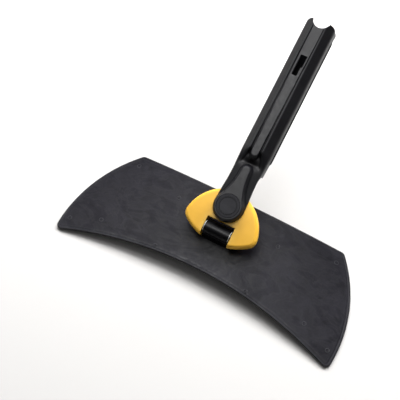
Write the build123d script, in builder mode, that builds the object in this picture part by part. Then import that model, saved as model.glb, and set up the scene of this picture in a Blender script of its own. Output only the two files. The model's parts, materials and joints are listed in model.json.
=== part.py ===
"""Flexible flat cleaning pad frame with a tilting yoke and a swivelling pole socket.

Frame: the origin is on the underside of the flexible plate, at its crown, straight
below the hinge axis. +X runs along the plate, +Y to its straight rear edge, +Z up.
"""
from build123d import *
from math import sqrt
import os

os.makedirs("parts", exist_ok=True)

# ---------------------------- driving dimensions (mm, degrees)
FRONT_WIDTH = 350.0          # between the sharp front corners
REAR_WIDTH = 267.0
PLATE_DEPTH = 134.5
HINGE_SETBACK = 75.0         # front corners to hinge axis
FRONT_HOLLOW = 30.6          # how far the front edge curves in
END_BULGE = 15.0
REAR_HOLLOW = 3.0
CORNER_RADIUS = 5.5
PLATE_THICKNESS = 3.0
ARCH_RISE = 12.3             # crown of the underside above the resting ends

HINGE_HEIGHT = 19.5
REST_TILT = 21.0             # yoke plane above the plate
PIVOT_OFFSET = 30.0          # hinge axis to swivel axis, along the yoke

PIN_RADIUS = 2.5
RUNNING_FIT = 0.05
BARREL_RADIUS = 8.5
BARREL_LENGTH = 30.6
NOTCH_WIDTH = 34.4
NOTCH_REAR = 11.5

YOKE_CROWN = 7.0             # top of the yoke above the hinge axis
YOKE_BASE = 9.0              # bottom of the yoke below the hinge axis
CROWN_RADIUS = 450.0
SHELL_WALL = 2.6

EYE_RADIUS = 18.0
EYE_TOP = 15.0
EYE_BOTTOM = 7.4
SWIVEL_CLEARANCE_RADIUS = 50.0   # beyond this the neck reaches its full depth
SWIVEL_FLAT_RADIUS = 40.5        # out to this the neck's underside is flat

HANDLE_LENGTH = 235.0        # swivel axis to the open end of the socket
TUBE_START = 64.0
BORE_RADIUS = 12.5           # for a 25 mm pole
BORE_AXIS = 1.5              # height of the bore's axis over the hinge axis plane
BORE_BOTTOM = 70.0
SCOOP_RADIUS = 10.7          # of the thumb scoop across the mouth
SCOOP_CENTRE = 237.0

# ---------------------------- reference planes
hinge_centre = Vector(0, 0, HINGE_HEIGHT)
handle_dir = Vector(0, 1, 0).rotate(Axis.X, REST_TILT)
yoke_normal = Vector(0, 0, 1).rotate(Axis.X, REST_TILT)
pivot = hinge_centre + handle_dir * PIVOT_OFFSET
yoke_plane = Plane(origin=hinge_centre, x_dir=(1, 0, 0), z_dir=yoke_normal)
pivot_plane = Plane(origin=pivot, x_dir=(1, 0, 0), z_dir=yoke_normal)
side_plane = Plane(origin=pivot, x_dir=handle_dir, z_dir=(1, 0, 0))
swivel_axis = Axis(pivot, yoke_normal)
hinge_plane = Plane(origin=hinge_centre, x_dir=(0, 1, 0), z_dir=(1, 0, 0))


def cross_plane(distance):
    """Plane across the handle, its y axis along the yoke normal."""
    return Plane(origin=pivot + handle_dir * distance, x_dir=(-1, 0, 0), z_dir=handle_dir)


def finish(part, name, colour):
    part.label = name
    part.color = Color(*colour)
    export_step(part, f"parts/{name}.step")


CHARCOAL = (0.09, 0.09, 0.10)
BLACK = (0.03, 0.03, 0.035)
YELLOW = (0.96, 0.70, 0.22)
STEEL = (0.70, 0.71, 0.73)
ACETAL = (0.85, 0.85, 0.82)

# ---------------------------- arched band, shared by the plate and what lies on it
front_y = -HINGE_SETBACK
rear_y = front_y + PLATE_DEPTH
middle_y = (front_y + rear_y) / 2
BULGE_SHARE = 0.95           # of the end bulge, at the middle station
STATION_OVERRUN = 4.0
REAR_NARROWING = 2.0
OVERHANG = 1.05              # band is this much wider than the plate, before it is trimmed
middle_half_width = (FRONT_WIDTH + REAR_WIDTH) / 4 + END_BULGE * BULGE_SHARE
arch_stations = [
    (front_y - STATION_OVERRUN, FRONT_WIDTH / 2),
    (middle_y, middle_half_width),
    (rear_y + STATION_OVERRUN, REAR_WIDTH / 2 - REAR_NARROWING),
]


def arch_band(low, high):
    """Solid between two arched surfaces whose ends all drop by the same rise."""
    with BuildPart() as band:
        for station_y, half_width in arch_stations:
            radius = half_width**2 / (2 * ARCH_RISE) + ARCH_RISE / 2
            reach = half_width * OVERHANG
            drop = radius - sqrt(radius**2 - reach**2)
            with BuildSketch(Plane.XZ.offset(-station_y)):
                with BuildLine():
                    upper = ThreePointArc((-reach, high - drop), (0, high), (reach, high - drop))
                    lower = ThreePointArc((-reach, low - drop), (0, low), (reach, low - drop))
                    Line(upper @ 0, lower @ 0)
                    Line(upper @ 1, lower @ 1)
                make_face()
        loft()
    return band.part


def plate_outline():
    """Plan of the plate: hollow front and rear edges, bulged ends, rounded corners."""
    front_left = (-FRONT_WIDTH / 2, front_y)
    front_right = (FRONT_WIDTH / 2, front_y)
    rear_right = (REAR_WIDTH / 2, rear_y)
    rear_left = (-REAR_WIDTH / 2, rear_y)
    with BuildSketch() as plan:
        with BuildLine():
            SagittaArc(front_left, front_right, FRONT_HOLLOW)
            SagittaArc(front_right, rear_right, -END_BULGE)
            SagittaArc(rear_right, rear_left, REAR_HOLLOW)
            SagittaArc(rear_left, front_left, -END_BULGE)
        make_face()
        fillet(plan.vertices(), CORNER_RADIUS)
    return plan.sketch


plate_plan = plate_outline()
plate_band = arch_band(0, PLATE_THICKNESS)
REINFORCEMENT = 1.2          # thickness of the steel backing plate, let into the underside
pocket_band = arch_band(-1, REINFORCEMENT)
backing_band = arch_band(0, REINFORCEMENT)
HOOK_THICKNESS = 1.6
hook_band = arch_band(-HOOK_THICKNESS, 0)

# ---------------------------- flexible plate
UPPER_EDGE_RADIUS = 1.1
LOWER_EDGE_RADIUS = 0.7
BACKING_LENGTH = 60.0
BACKING_WIDTH = 30.0
BACKING_CORNER = 4.0
BACKING_GAP = 0.3            # all round, in the plate's pocket
backing_y = 6.0
BELOW_ALL = 30.0             # depth from which through cuts start
PEDESTAL_SCREWS = [(-9.0, 0.0), (9.0, 0.0)]
FOOT_SCREWS = [(-19.0, 11.0), (19.0, 11.0)]
screw_places = PEDESTAL_SCREWS + FOOT_SCREWS
SCREW_RADIUS = 1.5
SCREW_HOLE_RADIUS = 1.8
SCREW_HEAD_RADIUS = 2.9

with BuildPart() as flex_plate:
    add(plate_band)
    with BuildSketch(Plane.XY.offset(-BELOW_ALL)):
        add(plate_plan)
    extrude(amount=2 * BELOW_ALL, mode=Mode.INTERSECT)
    broad_faces = flex_plate.faces().sort_by(SortBy.AREA)[-2:]
    upper_face = broad_faces.sort_by(Axis.Z)[-1]
    lower_face = broad_faces.sort_by(Axis.Z)[0]
    fillet(upper_face.edges(), UPPER_EDGE_RADIUS)
    fillet(lower_face.edges(), LOWER_EDGE_RADIUS)
plate_solid = flex_plate.part

with BuildPart() as pocket:
    add(pocket_band)
    with BuildSketch(Plane.XY.offset(-BELOW_ALL)):
        with Locations((0, backing_y)):
            RectangleRounded(
                BACKING_LENGTH + 2 * BACKING_GAP,
                BACKING_WIDTH + 2 * BACKING_GAP,
                BACKING_CORNER + BACKING_GAP,
            )
    extrude(amount=2 * BELOW_ALL, mode=Mode.INTERSECT)

with BuildPart() as flex_plate:
    add(plate_solid)
    add(pocket.part, mode=Mode.SUBTRACT)
    with BuildSketch(Plane.XY.offset(-BELOW_ALL)):
        with Locations(*screw_places):
            Circle(SCREW_HOLE_RADIUS)
    extrude(amount=2 * BELOW_ALL, mode=Mode.SUBTRACT)
finish(flex_plate.part, "flex_plate", CHARCOAL)

# ---------------------------- steel backing plate under the bracket
with BuildPart() as backing_plate:
    add(backing_band)
    with BuildSketch(Plane.XY.offset(-BELOW_ALL)):
        with Locations((0, backing_y)):
            RectangleRounded(BACKING_LENGTH, BACKING_WIDTH, BACKING_CORNER)
        with Locations(*screw_places):
            Circle(SCREW_HOLE_RADIUS, mode=Mode.SUBTRACT)
    extrude(amount=2 * BELOW_ALL, mode=Mode.INTERSECT)
finish(backing_plate.part, "backing_plate", STEEL)

# ---------------------------- hook strips that hold the pad
STRIP_WIDTH = 22.0
STRIP_CORNER = 3.0
strip_layout = {
    "hook_strip_front_left": (-104.0, -36.0, 100.0),
    "hook_strip_front_right": (104.0, -36.0, 100.0),
    "hook_strip_rear_left": (-82.0, 34.0, 84.0),
    "hook_strip_rear_right": (82.0, 34.0, 84.0),
    "hook_strip_front_centre": (0.0, -28.0, 70.0),
    "hook_strip_rear_centre": (0.0, 38.0, 60.0),
}
for strip_name, (strip_x, strip_y, strip_length) in strip_layout.items():
    with BuildPart() as hook_strip:
        add(hook_band)
        with BuildSketch(Plane.XY.offset(-BELOW_ALL)):
            with Locations((strip_x, strip_y)):
                RectangleRounded(strip_length, STRIP_WIDTH, STRIP_CORNER)
        extrude(amount=2 * BELOW_ALL, mode=Mode.INTERSECT)
    finish(hook_strip.part, strip_name, BLACK)

# ---------------------------- hinge bracket with its barrel
FOOT_LENGTH = 50.0
FOOT_WIDTH = 24.0
FOOT_CORNER = 6.0
foot_y = 5.0
FOOT_TOP = PLATE_THICKNESS + 2.4
FOOT_ROOT = PLATE_THICKNESS - 1.0    # starts inside the plate, then follows its surface
PEDESTAL_DEPTH = 12.0
BOSS_RADIUS = 4.4
BOSS_TOP = PLATE_THICKNESS + 5.0
BUSH_OUTER_RADIUS = 4.4
BARREL_CHAMFER = 0.5
PEDESTAL_SCREW_DEPTH = 9.0
FOOT_SCREW_DEPTH = 4.0
SCREW_TIP_GAP = 0.5

with BuildPart() as hinge_bracket:
    with BuildSketch(Plane.XY.offset(FOOT_ROOT)):
        with Locations((0, foot_y)):
            RectangleRounded(FOOT_LENGTH, FOOT_WIDTH, FOOT_CORNER)
    extrude(amount=FOOT_TOP - FOOT_ROOT)
    with BuildSketch(Plane.XY.offset(FOOT_ROOT)):
        with Locations(*FOOT_SCREWS):
            Circle(BOSS_RADIUS)
    extrude(amount=BOSS_TOP - FOOT_ROOT)
    with BuildSketch(Plane.XY.offset(FOOT_ROOT)):
        Rectangle(BARREL_LENGTH, PEDESTAL_DEPTH)
    extrude(amount=HINGE_HEIGHT - FOOT_ROOT)
    with BuildSketch(hinge_plane.offset(-BARREL_LENGTH / 2)):
        Circle(BARREL_RADIUS)
    extrude(amount=BARREL_LENGTH)
    barrel_rims = hinge_bracket.edges().filter_by(GeomType.CIRCLE).filter_by(
        lambda rim: rim.radius > BARREL_RADIUS - 0.1 and abs(abs(rim.center().X) - BARREL_LENGTH / 2) < 0.1
    )
    chamfer(barrel_rims, BARREL_CHAMFER)
    with BuildSketch(hinge_plane.offset(-BARREL_LENGTH / 2)):
        Circle(BUSH_OUTER_RADIUS)
    extrude(amount=BARREL_LENGTH, mode=Mode.SUBTRACT)
    with BuildSketch(Plane.XY):
        with Locations(*PEDESTAL_SCREWS):
            Circle(SCREW_RADIUS)
    extrude(amount=PLATE_THICKNESS + PEDESTAL_SCREW_DEPTH, mode=Mode.SUBTRACT)
    with BuildSketch(Plane.XY):
        with Locations(*FOOT_SCREWS):
            Circle(SCREW_RADIUS)
    extrude(amount=PLATE_THICKNESS + FOOT_SCREW_DEPTH, mode=Mode.SUBTRACT)
    add(plate_band, mode=Mode.SUBTRACT)
finish(hinge_bracket.part, "hinge_bracket", BLACK)

# ---------------------------- bracket screws, up through the backing plate
SCREW_SEAT = -0.3
SCREW_HEAD_HEIGHT = 1.3
CROSS_LENGTH = 3.2
CROSS_WIDTH = 0.7
CROSS_DEPTH = 0.8
with BuildPart() as bracket_screws:
    with BuildSketch(Plane.XY.offset(SCREW_SEAT)):
        with Locations(*screw_places):
            Circle(SCREW_HEAD_RADIUS)
    extrude(amount=-SCREW_HEAD_HEIGHT)
    with BuildSketch(Plane.XY.offset(SCREW_SEAT)):
        with Locations(*PEDESTAL_SCREWS):
            Circle(SCREW_RADIUS)
    extrude(amount=PLATE_THICKNESS + PEDESTAL_SCREW_DEPTH - SCREW_TIP_GAP)
    with BuildSketch(Plane.XY.offset(SCREW_SEAT)):
        with Locations(*FOOT_SCREWS):
            Circle(SCREW_RADIUS)
    extrude(amount=PLATE_THICKNESS + FOOT_SCREW_DEPTH - SCREW_TIP_GAP)
    with BuildSketch(Plane.XY.offset(SCREW_SEAT - SCREW_HEAD_HEIGHT)):
        with Locations(*screw_places):
            Rectangle(CROSS_LENGTH, CROSS_WIDTH)
            Rectangle(CROSS_WIDTH, CROSS_LENGTH)
    extrude(amount=CROSS_DEPTH, mode=Mode.SUBTRACT)
finish(bracket_screws.part, "bracket_screws", STEEL)

# ---------------------------- hinge bushes and friction washers
BUSH_LENGTH = 12.0
FLANGE_RADIUS = 7.2
FLANGE_THICKNESS = 0.8
WASHER_THICKNESS = 0.5
LOOSE_FIT = 0.3              # radial, for washers and springs
barrel_end = BARREL_LENGTH / 2
for side, sign in (("left", -1), ("right", 1)):
    with BuildPart() as hinge_bush:
        with BuildSketch(hinge_plane.offset(sign * (barrel_end - BUSH_LENGTH))):
            Circle(BUSH_OUTER_RADIUS)
        extrude(amount=sign * BUSH_LENGTH)
        with BuildSketch(hinge_plane.offset(sign * barrel_end)):
            Circle(FLANGE_RADIUS)
        extrude(amount=sign * FLANGE_THICKNESS)
        with BuildSketch(hinge_plane.offset(sign * (barrel_end - BUSH_LENGTH))):
            Circle(PIN_RADIUS + RUNNING_FIT)
        extrude(amount=sign * (BUSH_LENGTH + FLANGE_THICKNESS), mode=Mode.SUBTRACT)
    finish(hinge_bush.part, f"hinge_bush_{side}", ACETAL)
    with BuildPart() as tilt_washer:
        with BuildSketch(hinge_plane.offset(sign * (barrel_end + FLANGE_THICKNESS))):
            Circle(FLANGE_RADIUS)
            Circle(PIN_RADIUS + LOOSE_FIT, mode=Mode.SUBTRACT)
        extrude(amount=sign * WASHER_THICKNESS)
    finish(tilt_washer.part, f"tilt_washer_{side}", BLACK)

# ---------------------------- hinge pin, clamped between the yoke shells
PIN_LENGTH = 70.0
PIN_CHAMFER = 0.5
with BuildPart() as hinge_pin:
    with BuildSketch(hinge_plane.offset(-PIN_LENGTH / 2)):
        Circle(PIN_RADIUS)
    extrude(amount=PIN_LENGTH)
    chamfer(hinge_pin.edges(), PIN_CHAMFER)
finish(hinge_pin.part, "hinge_pin", STEEL)

# ---------------------------- yoke outline and shells
FRONT_ARC_RADIUS = 67.0
YOKE_FRONT = -14.3           # front arc at its middle, which the notch removes
SIDE_ARC_RADIUS = 50.4
SIDE_ARC_CENTRE = (-5.3, 1.1)
YOKE_CORNER_RADIUS = 11.0
YOKE_APEX_RADIUS = 24.0
YOKE_SCREWS = [(-30.0, 16.0), (30.0, 16.0), (-15.0, 42.0), (15.0, 42.0)]
YOKE_SCREW_RADIUS = 1.5
YOKE_SCREW_DEPTH = 3.4
YOKE_SCREW_HEAD_RADIUS = 2.8
YOKE_SCREW_BOSS_RADIUS = 3.6
BOLT_RADIUS = 3.0
BOLT_GAP = 0.1
NOTCH_WALL = 2.6             # around the notch, left and right and behind
PIN_BLOCK = (76.0, 10.5)     # solid band that clamps the hinge pin


def yoke_outline(inset):
    """Rounded triangle from three arcs, drawn in by the inset, still without its notch."""
    with BuildSketch() as plan:
        with Locations((0, YOKE_FRONT + FRONT_ARC_RADIUS)):
            Circle(FRONT_ARC_RADIUS - inset)
        with Locations(SIDE_ARC_CENTRE):
            Circle(SIDE_ARC_RADIUS - inset, mode=Mode.INTERSECT)
        with Locations((-SIDE_ARC_CENTRE[0], SIDE_ARC_CENTRE[1])):
            Circle(SIDE_ARC_RADIUS - inset, mode=Mode.INTERSECT)
        fillet(plan.vertices().sort_by(Axis.Y)[:2], YOKE_CORNER_RADIUS - inset)
        fillet(plan.vertices().sort_by(Axis.Y)[-1], YOKE_APEX_RADIUS - inset)
    return plan.sketch


def yoke_cavity(pivot_boss_radius):
    """Inner outline less the walls and bosses that stay solid."""
    with BuildSketch() as plan:
        add(yoke_outline(SHELL_WALL))
        with Locations((0, YOKE_FRONT)):
            Rectangle(
                NOTCH_WIDTH + 2 * NOTCH_WALL,
                2 * (NOTCH_REAR + NOTCH_WALL - YOKE_FRONT),
                mode=Mode.SUBTRACT,
            )
        Rectangle(*PIN_BLOCK, mode=Mode.SUBTRACT)
        with Locations(*YOKE_SCREWS):
            Circle(YOKE_SCREW_BOSS_RADIUS, mode=Mode.SUBTRACT)
        with Locations((0, PIVOT_OFFSET)):
            Circle(pivot_boss_radius, mode=Mode.SUBTRACT)
    return plan.sketch


yoke_plan = yoke_outline(0)
NOTCH_DEPTH = 2 * (NOTCH_REAR - YOKE_FRONT)

# upper shell: crowned about the swivel axis, hollow inside, with a seat for the handle's spigot
SEAT_RADIUS = 13.0
SEAT_FLOOR = 3.2
SEAT_WALL = 2.4
TOP_SHELL_ROOF = 4.6         # thickness under the crown
TOP_EDGE_RADIUS = 4.6
top_cavity = yoke_cavity(SEAT_RADIUS + SEAT_WALL)
with BuildPart() as yoke_top_shell:
    with BuildSketch(yoke_plane):
        add(yoke_plan)
    extrude(amount=YOKE_CROWN + 1)
    with Locations(pivot + yoke_normal * (YOKE_CROWN - CROWN_RADIUS)):
        Sphere(CROWN_RADIUS, mode=Mode.INTERSECT)
    crown_edges = yoke_top_shell.faces().sort_by(Axis(pivot, yoke_normal))[-1].edges()
    fillet(crown_edges, TOP_EDGE_RADIUS)
    with BuildSketch(yoke_plane):
        with Locations((0, YOKE_FRONT)):
            Rectangle(NOTCH_WIDTH, NOTCH_DEPTH)
    extrude(amount=YOKE_CROWN + 1, mode=Mode.SUBTRACT)
    with BuildSketch(yoke_plane):
        add(top_cavity)
    extrude(amount=YOKE_CROWN - TOP_SHELL_ROOF, mode=Mode.SUBTRACT)
    with BuildSketch(pivot_plane.offset(SEAT_FLOOR)):
        Circle(SEAT_RADIUS)
    extrude(amount=YOKE_CROWN, mode=Mode.SUBTRACT)
    with BuildSketch(pivot_plane):
        Circle(BOLT_RADIUS + BOLT_GAP)
    extrude(amount=YOKE_CROWN, mode=Mode.SUBTRACT)
    with BuildSketch(hinge_plane.offset(-PIN_LENGTH / 2)):
        Circle(PIN_RADIUS)
    extrude(amount=PIN_LENGTH, mode=Mode.SUBTRACT)
    with BuildSketch(yoke_plane):
        with Locations(*YOKE_SCREWS):
            Circle(YOKE_SCREW_RADIUS)
    extrude(amount=YOKE_SCREW_DEPTH, mode=Mode.SUBTRACT)
finish(yoke_top_shell.part, "yoke_top_shell", YELLOW)

# lower shell: floor with pockets for the screw heads and for the swivel nut
FLOOR_EDGE_RADIUS = 4.0
NUT_FLATS = 10.0
NUT_POCKET_ROOF = -3.4
NUT_BOSS_RADIUS = 10.0
YOKE_FLOOR = 2.4
HEAD_GAP = 0.2
bottom_cavity = yoke_cavity(NUT_BOSS_RADIUS)
with BuildPart() as yoke_bottom_shell:
    with BuildSketch(yoke_plane):
        add(yoke_plan)
    extrude(amount=-YOKE_BASE)
    floor_edges = yoke_bottom_shell.faces().sort_by(Axis(pivot, yoke_normal))[0].edges()
    fillet(floor_edges, FLOOR_EDGE_RADIUS)
    with BuildSketch(yoke_plane):
        with Locations((0, YOKE_FRONT)):
            Rectangle(NOTCH_WIDTH, NOTCH_DEPTH)
    extrude(amount=-YOKE_BASE - 1, mode=Mode.SUBTRACT)
    with BuildSketch(yoke_plane):
        add(bottom_cavity)
    extrude(amount=-(YOKE_BASE - YOKE_FLOOR), mode=Mode.SUBTRACT)
    with BuildSketch(pivot_plane.offset(NUT_POCKET_ROOF)):
        RegularPolygon(NUT_FLATS / 2 + BOLT_GAP, 6, major_radius=False)
    extrude(amount=-YOKE_BASE, mode=Mode.SUBTRACT)
    with BuildSketch(pivot_plane):
        Circle(BOLT_RADIUS + BOLT_GAP)
    extrude(amount=-YOKE_BASE, mode=Mode.SUBTRACT)
    with BuildSketch(hinge_plane.offset(-PIN_LENGTH / 2)):
        Circle(PIN_RADIUS)
    extrude(amount=PIN_LENGTH, mode=Mode.SUBTRACT)
    with BuildSketch(yoke_plane):
        with Locations(*YOKE_SCREWS):
            Circle(YOKE_SCREW_RADIUS + HEAD_GAP)
    extrude(amount=-YOKE_BASE, mode=Mode.SUBTRACT)
    with BuildSketch(yoke_plane.offset(-YOKE_BASE + YOKE_FLOOR)):
        with Locations(*YOKE_SCREWS):
            Circle(YOKE_SCREW_HEAD_RADIUS + HEAD_GAP)
    extrude(amount=-YOKE_BASE, mode=Mode.SUBTRACT)
finish(yoke_bottom_shell.part, "yoke_bottom_shell", YELLOW)

# ---------------------------- yoke screws, from below
YOKE_SCREW_SEAT = -YOKE_BASE + YOKE_FLOOR - 0.05
YOKE_SCREW_HEAD_HEIGHT = 1.7
with BuildPart() as yoke_screws:
    with BuildSketch(yoke_plane.offset(YOKE_SCREW_SEAT)):
        with Locations(*YOKE_SCREWS):
            Circle(YOKE_SCREW_HEAD_RADIUS)
    extrude(amount=-YOKE_SCREW_HEAD_HEIGHT)
    with BuildSketch(yoke_plane.offset(YOKE_SCREW_SEAT)):
        with Locations(*YOKE_SCREWS):
            Circle(YOKE_SCREW_RADIUS)
    extrude(amount=-YOKE_SCREW_SEAT + YOKE_SCREW_DEPTH - HEAD_GAP)
    with BuildSketch(yoke_plane.offset(YOKE_SCREW_SEAT - YOKE_SCREW_HEAD_HEIGHT)):
        with Locations(*YOKE_SCREWS):
            Rectangle(CROSS_LENGTH, CROSS_WIDTH)
            Rectangle(CROSS_WIDTH, CROSS_LENGTH)
    extrude(amount=CROSS_DEPTH, mode=Mode.SUBTRACT)
finish(yoke_screws.part, "yoke_screws", STEEL)

# ---------------------------- swivel: washer, bush, disc spring, bolt, nut
SPIGOT_RADIUS = SEAT_RADIUS - RUNNING_FIT
SPIGOT_BOTTOM = 4.1
SHOULDER_RADIUS = 4.0
SWIVEL_BUSH_RADIUS = 6.0
HEAD_RECESS_FLOOR = 10.2
CAP_SEAT = 13.2
CAP_RADIUS = 13.6
HEAD_RECESS_RADIUS = 9.4
SEAT_GAP = 0.05              # between stacked swivel parts

with BuildPart() as swivel_washer:
    with BuildSketch(pivot_plane.offset(SEAT_FLOOR)):
        Circle(SEAT_RADIUS - LOOSE_FIT)
        Circle(SHOULDER_RADIUS + LOOSE_FIT, mode=Mode.SUBTRACT)
    extrude(amount=SPIGOT_BOTTOM - SEAT_FLOOR - SEAT_GAP)
finish(swivel_washer.part, "swivel_washer", ACETAL)

with BuildPart() as swivel_bush:
    with BuildSketch(pivot_plane.offset(SPIGOT_BOTTOM)):
        Circle(SWIVEL_BUSH_RADIUS)
        Circle(SHOULDER_RADIUS + RUNNING_FIT, mode=Mode.SUBTRACT)
    extrude(amount=HEAD_RECESS_FLOOR - SPIGOT_BOTTOM)
finish(swivel_bush.part, "swivel_bush", ACETAL)

SPRING_BOTTOM = HEAD_RECESS_FLOOR + SEAT_GAP
SPRING_TOP = SPRING_BOTTOM + 0.8
SPRING_THICKNESS = 0.4
SPRING_RADIUS = 8.4
with BuildPart() as disc_spring:
    with BuildSketch(side_plane):
        with BuildLine():
            Polyline(
                (SHOULDER_RADIUS + LOOSE_FIT, SPRING_TOP - SPRING_THICKNESS),
                (SPRING_RADIUS, SPRING_BOTTOM),
                (SPRING_RADIUS, SPRING_BOTTOM + SPRING_THICKNESS),
                (SHOULDER_RADIUS + LOOSE_FIT, SPRING_TOP),
                close=True,
            )
        make_face()
    revolve(axis=swivel_axis)
finish(disc_spring.part, "disc_spring", STEEL)

HEAD_BOTTOM = SPRING_TOP + SEAT_GAP
HEAD_THICKNESS = 1.8
HEAD_RADIUS = 7.6
HEAD_CHAMFER = 0.5
HEX_FLATS = 4.0
HEX_DEPTH = 1.2
BOLT_END = -8.0
with BuildPart() as swivel_bolt:
    with BuildSketch(pivot_plane.offset(HEAD_BOTTOM)):
        Circle(HEAD_RADIUS)
    extrude(amount=HEAD_THICKNESS)
    chamfer(swivel_bolt.edges().sort_by(Axis(pivot, yoke_normal))[-1], HEAD_CHAMFER)
    with BuildSketch(pivot_plane.offset(SEAT_FLOOR)):
        Circle(SHOULDER_RADIUS)
    extrude(amount=HEAD_BOTTOM - SEAT_FLOOR)
    with BuildSketch(pivot_plane.offset(BOLT_END)):
        Circle(BOLT_RADIUS)
    extrude(amount=SEAT_FLOOR - BOLT_END)
    with BuildSketch(pivot_plane.offset(HEAD_BOTTOM + HEAD_THICKNESS)):
        RegularPolygon(HEX_FLATS / 2, 6, major_radius=False)
    extrude(amount=-HEX_DEPTH, mode=Mode.SUBTRACT)
finish(swivel_bolt.part, "swivel_bolt", STEEL)

NUT_WASHER_THICKNESS = 0.8
NUT_THICKNESS = 4.2
with BuildPart() as nut_washer:
    with BuildSketch(pivot_plane.offset(NUT_POCKET_ROOF)):
        Circle(NUT_FLATS / 2)
        Circle(BOLT_RADIUS + BOLT_GAP, mode=Mode.SUBTRACT)
    extrude(amount=-NUT_WASHER_THICKNESS)
finish(nut_washer.part, "nut_washer", STEEL)

with BuildPart() as swivel_nut:
    with BuildSketch(pivot_plane.offset(NUT_POCKET_ROOF - NUT_WASHER_THICKNESS)):
        RegularPolygon(NUT_FLATS / 2, 6, major_radius=False)
        Circle(BOLT_RADIUS, mode=Mode.SUBTRACT)
    extrude(amount=-NUT_THICKNESS)
finish(swivel_nut.part, "swivel_nut", STEEL)

# ---------------------------- handle: eye, neck and pole socket in one moulding
TUBE_HALF_WIDTH = 17.3
TUBE_TOP = 16.9
TUBE_TOP_HALF = 9.2
TUBE_SHOULDER = 8.2          # where the top chamfers meet the sides
TUBE_BOTTOM = -14.5
TUBE_BOTTOM_HALF = 9.5
SIDE_BOTTOM = -8.5           # where the sides meet the bottom chamfers
NECK_TOP = 10.5
CORNER_ROUNDING = 1.6
CUT_DEPTH = 20.0

TONGUE_END = 45.0
TONGUE_END_RADIUS = 8.0
TONGUE_INSET = 0.3
TONGUE_SLOPE = 30.0

RIDGE_OFFSET = 8.2
RIDGE_START = 68.5
RIDGE_WIDTH = 1.6
RIDGE_HEIGHT = 1.4
BEAD_START = 66.0
BEAD_END = 222.0
BEAD_RADIUS = 1.4
BEAD_PLACE = (TUBE_HALF_WIDTH - 0.3, -7.0)

# button slot: a wide part and a narrow part, each (across, along, width, length)
SLOT_WIDE = (0.3, 183.0, 7.8, 14.0)
SLOT_NARROW = (-0.5, 172.0, 6.2, 14.0)
SLOT_CORNER = 1.2


def body_section(top, half_top, shoulder, half_width):
    """Eight-sided section, upright, with its corners rounded."""
    with BuildSketch() as section:
        with BuildLine():
            right = Polyline(
                (0, top),
                (half_top, top),
                (half_width, shoulder),
                (half_width, SIDE_BOTTOM),
                (TUBE_BOTTOM_HALF, TUBE_BOTTOM),
                (0, TUBE_BOTTOM),
            )
            mirror(right, about=Plane.YZ)
        make_face()
        fillet(section.vertices(), CORNER_ROUNDING)
    return section.sketch


tube_section = body_section(TUBE_TOP, TUBE_TOP_HALF, TUBE_SHOULDER, TUBE_HALF_WIDTH)
neck_sections = [
    (0.0, body_section(NECK_TOP, 13.0, 8.6, 17.8)),
    (20.0, body_section(NECK_TOP, 11.5, 8.6, 17.2)),
    (34.0, body_section(NECK_TOP, 9.0, 8.2, 16.4)),
    (48.0, body_section(NECK_TOP, 9.0, 8.2, 16.4)),
    (TUBE_START, tube_section),
]

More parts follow.
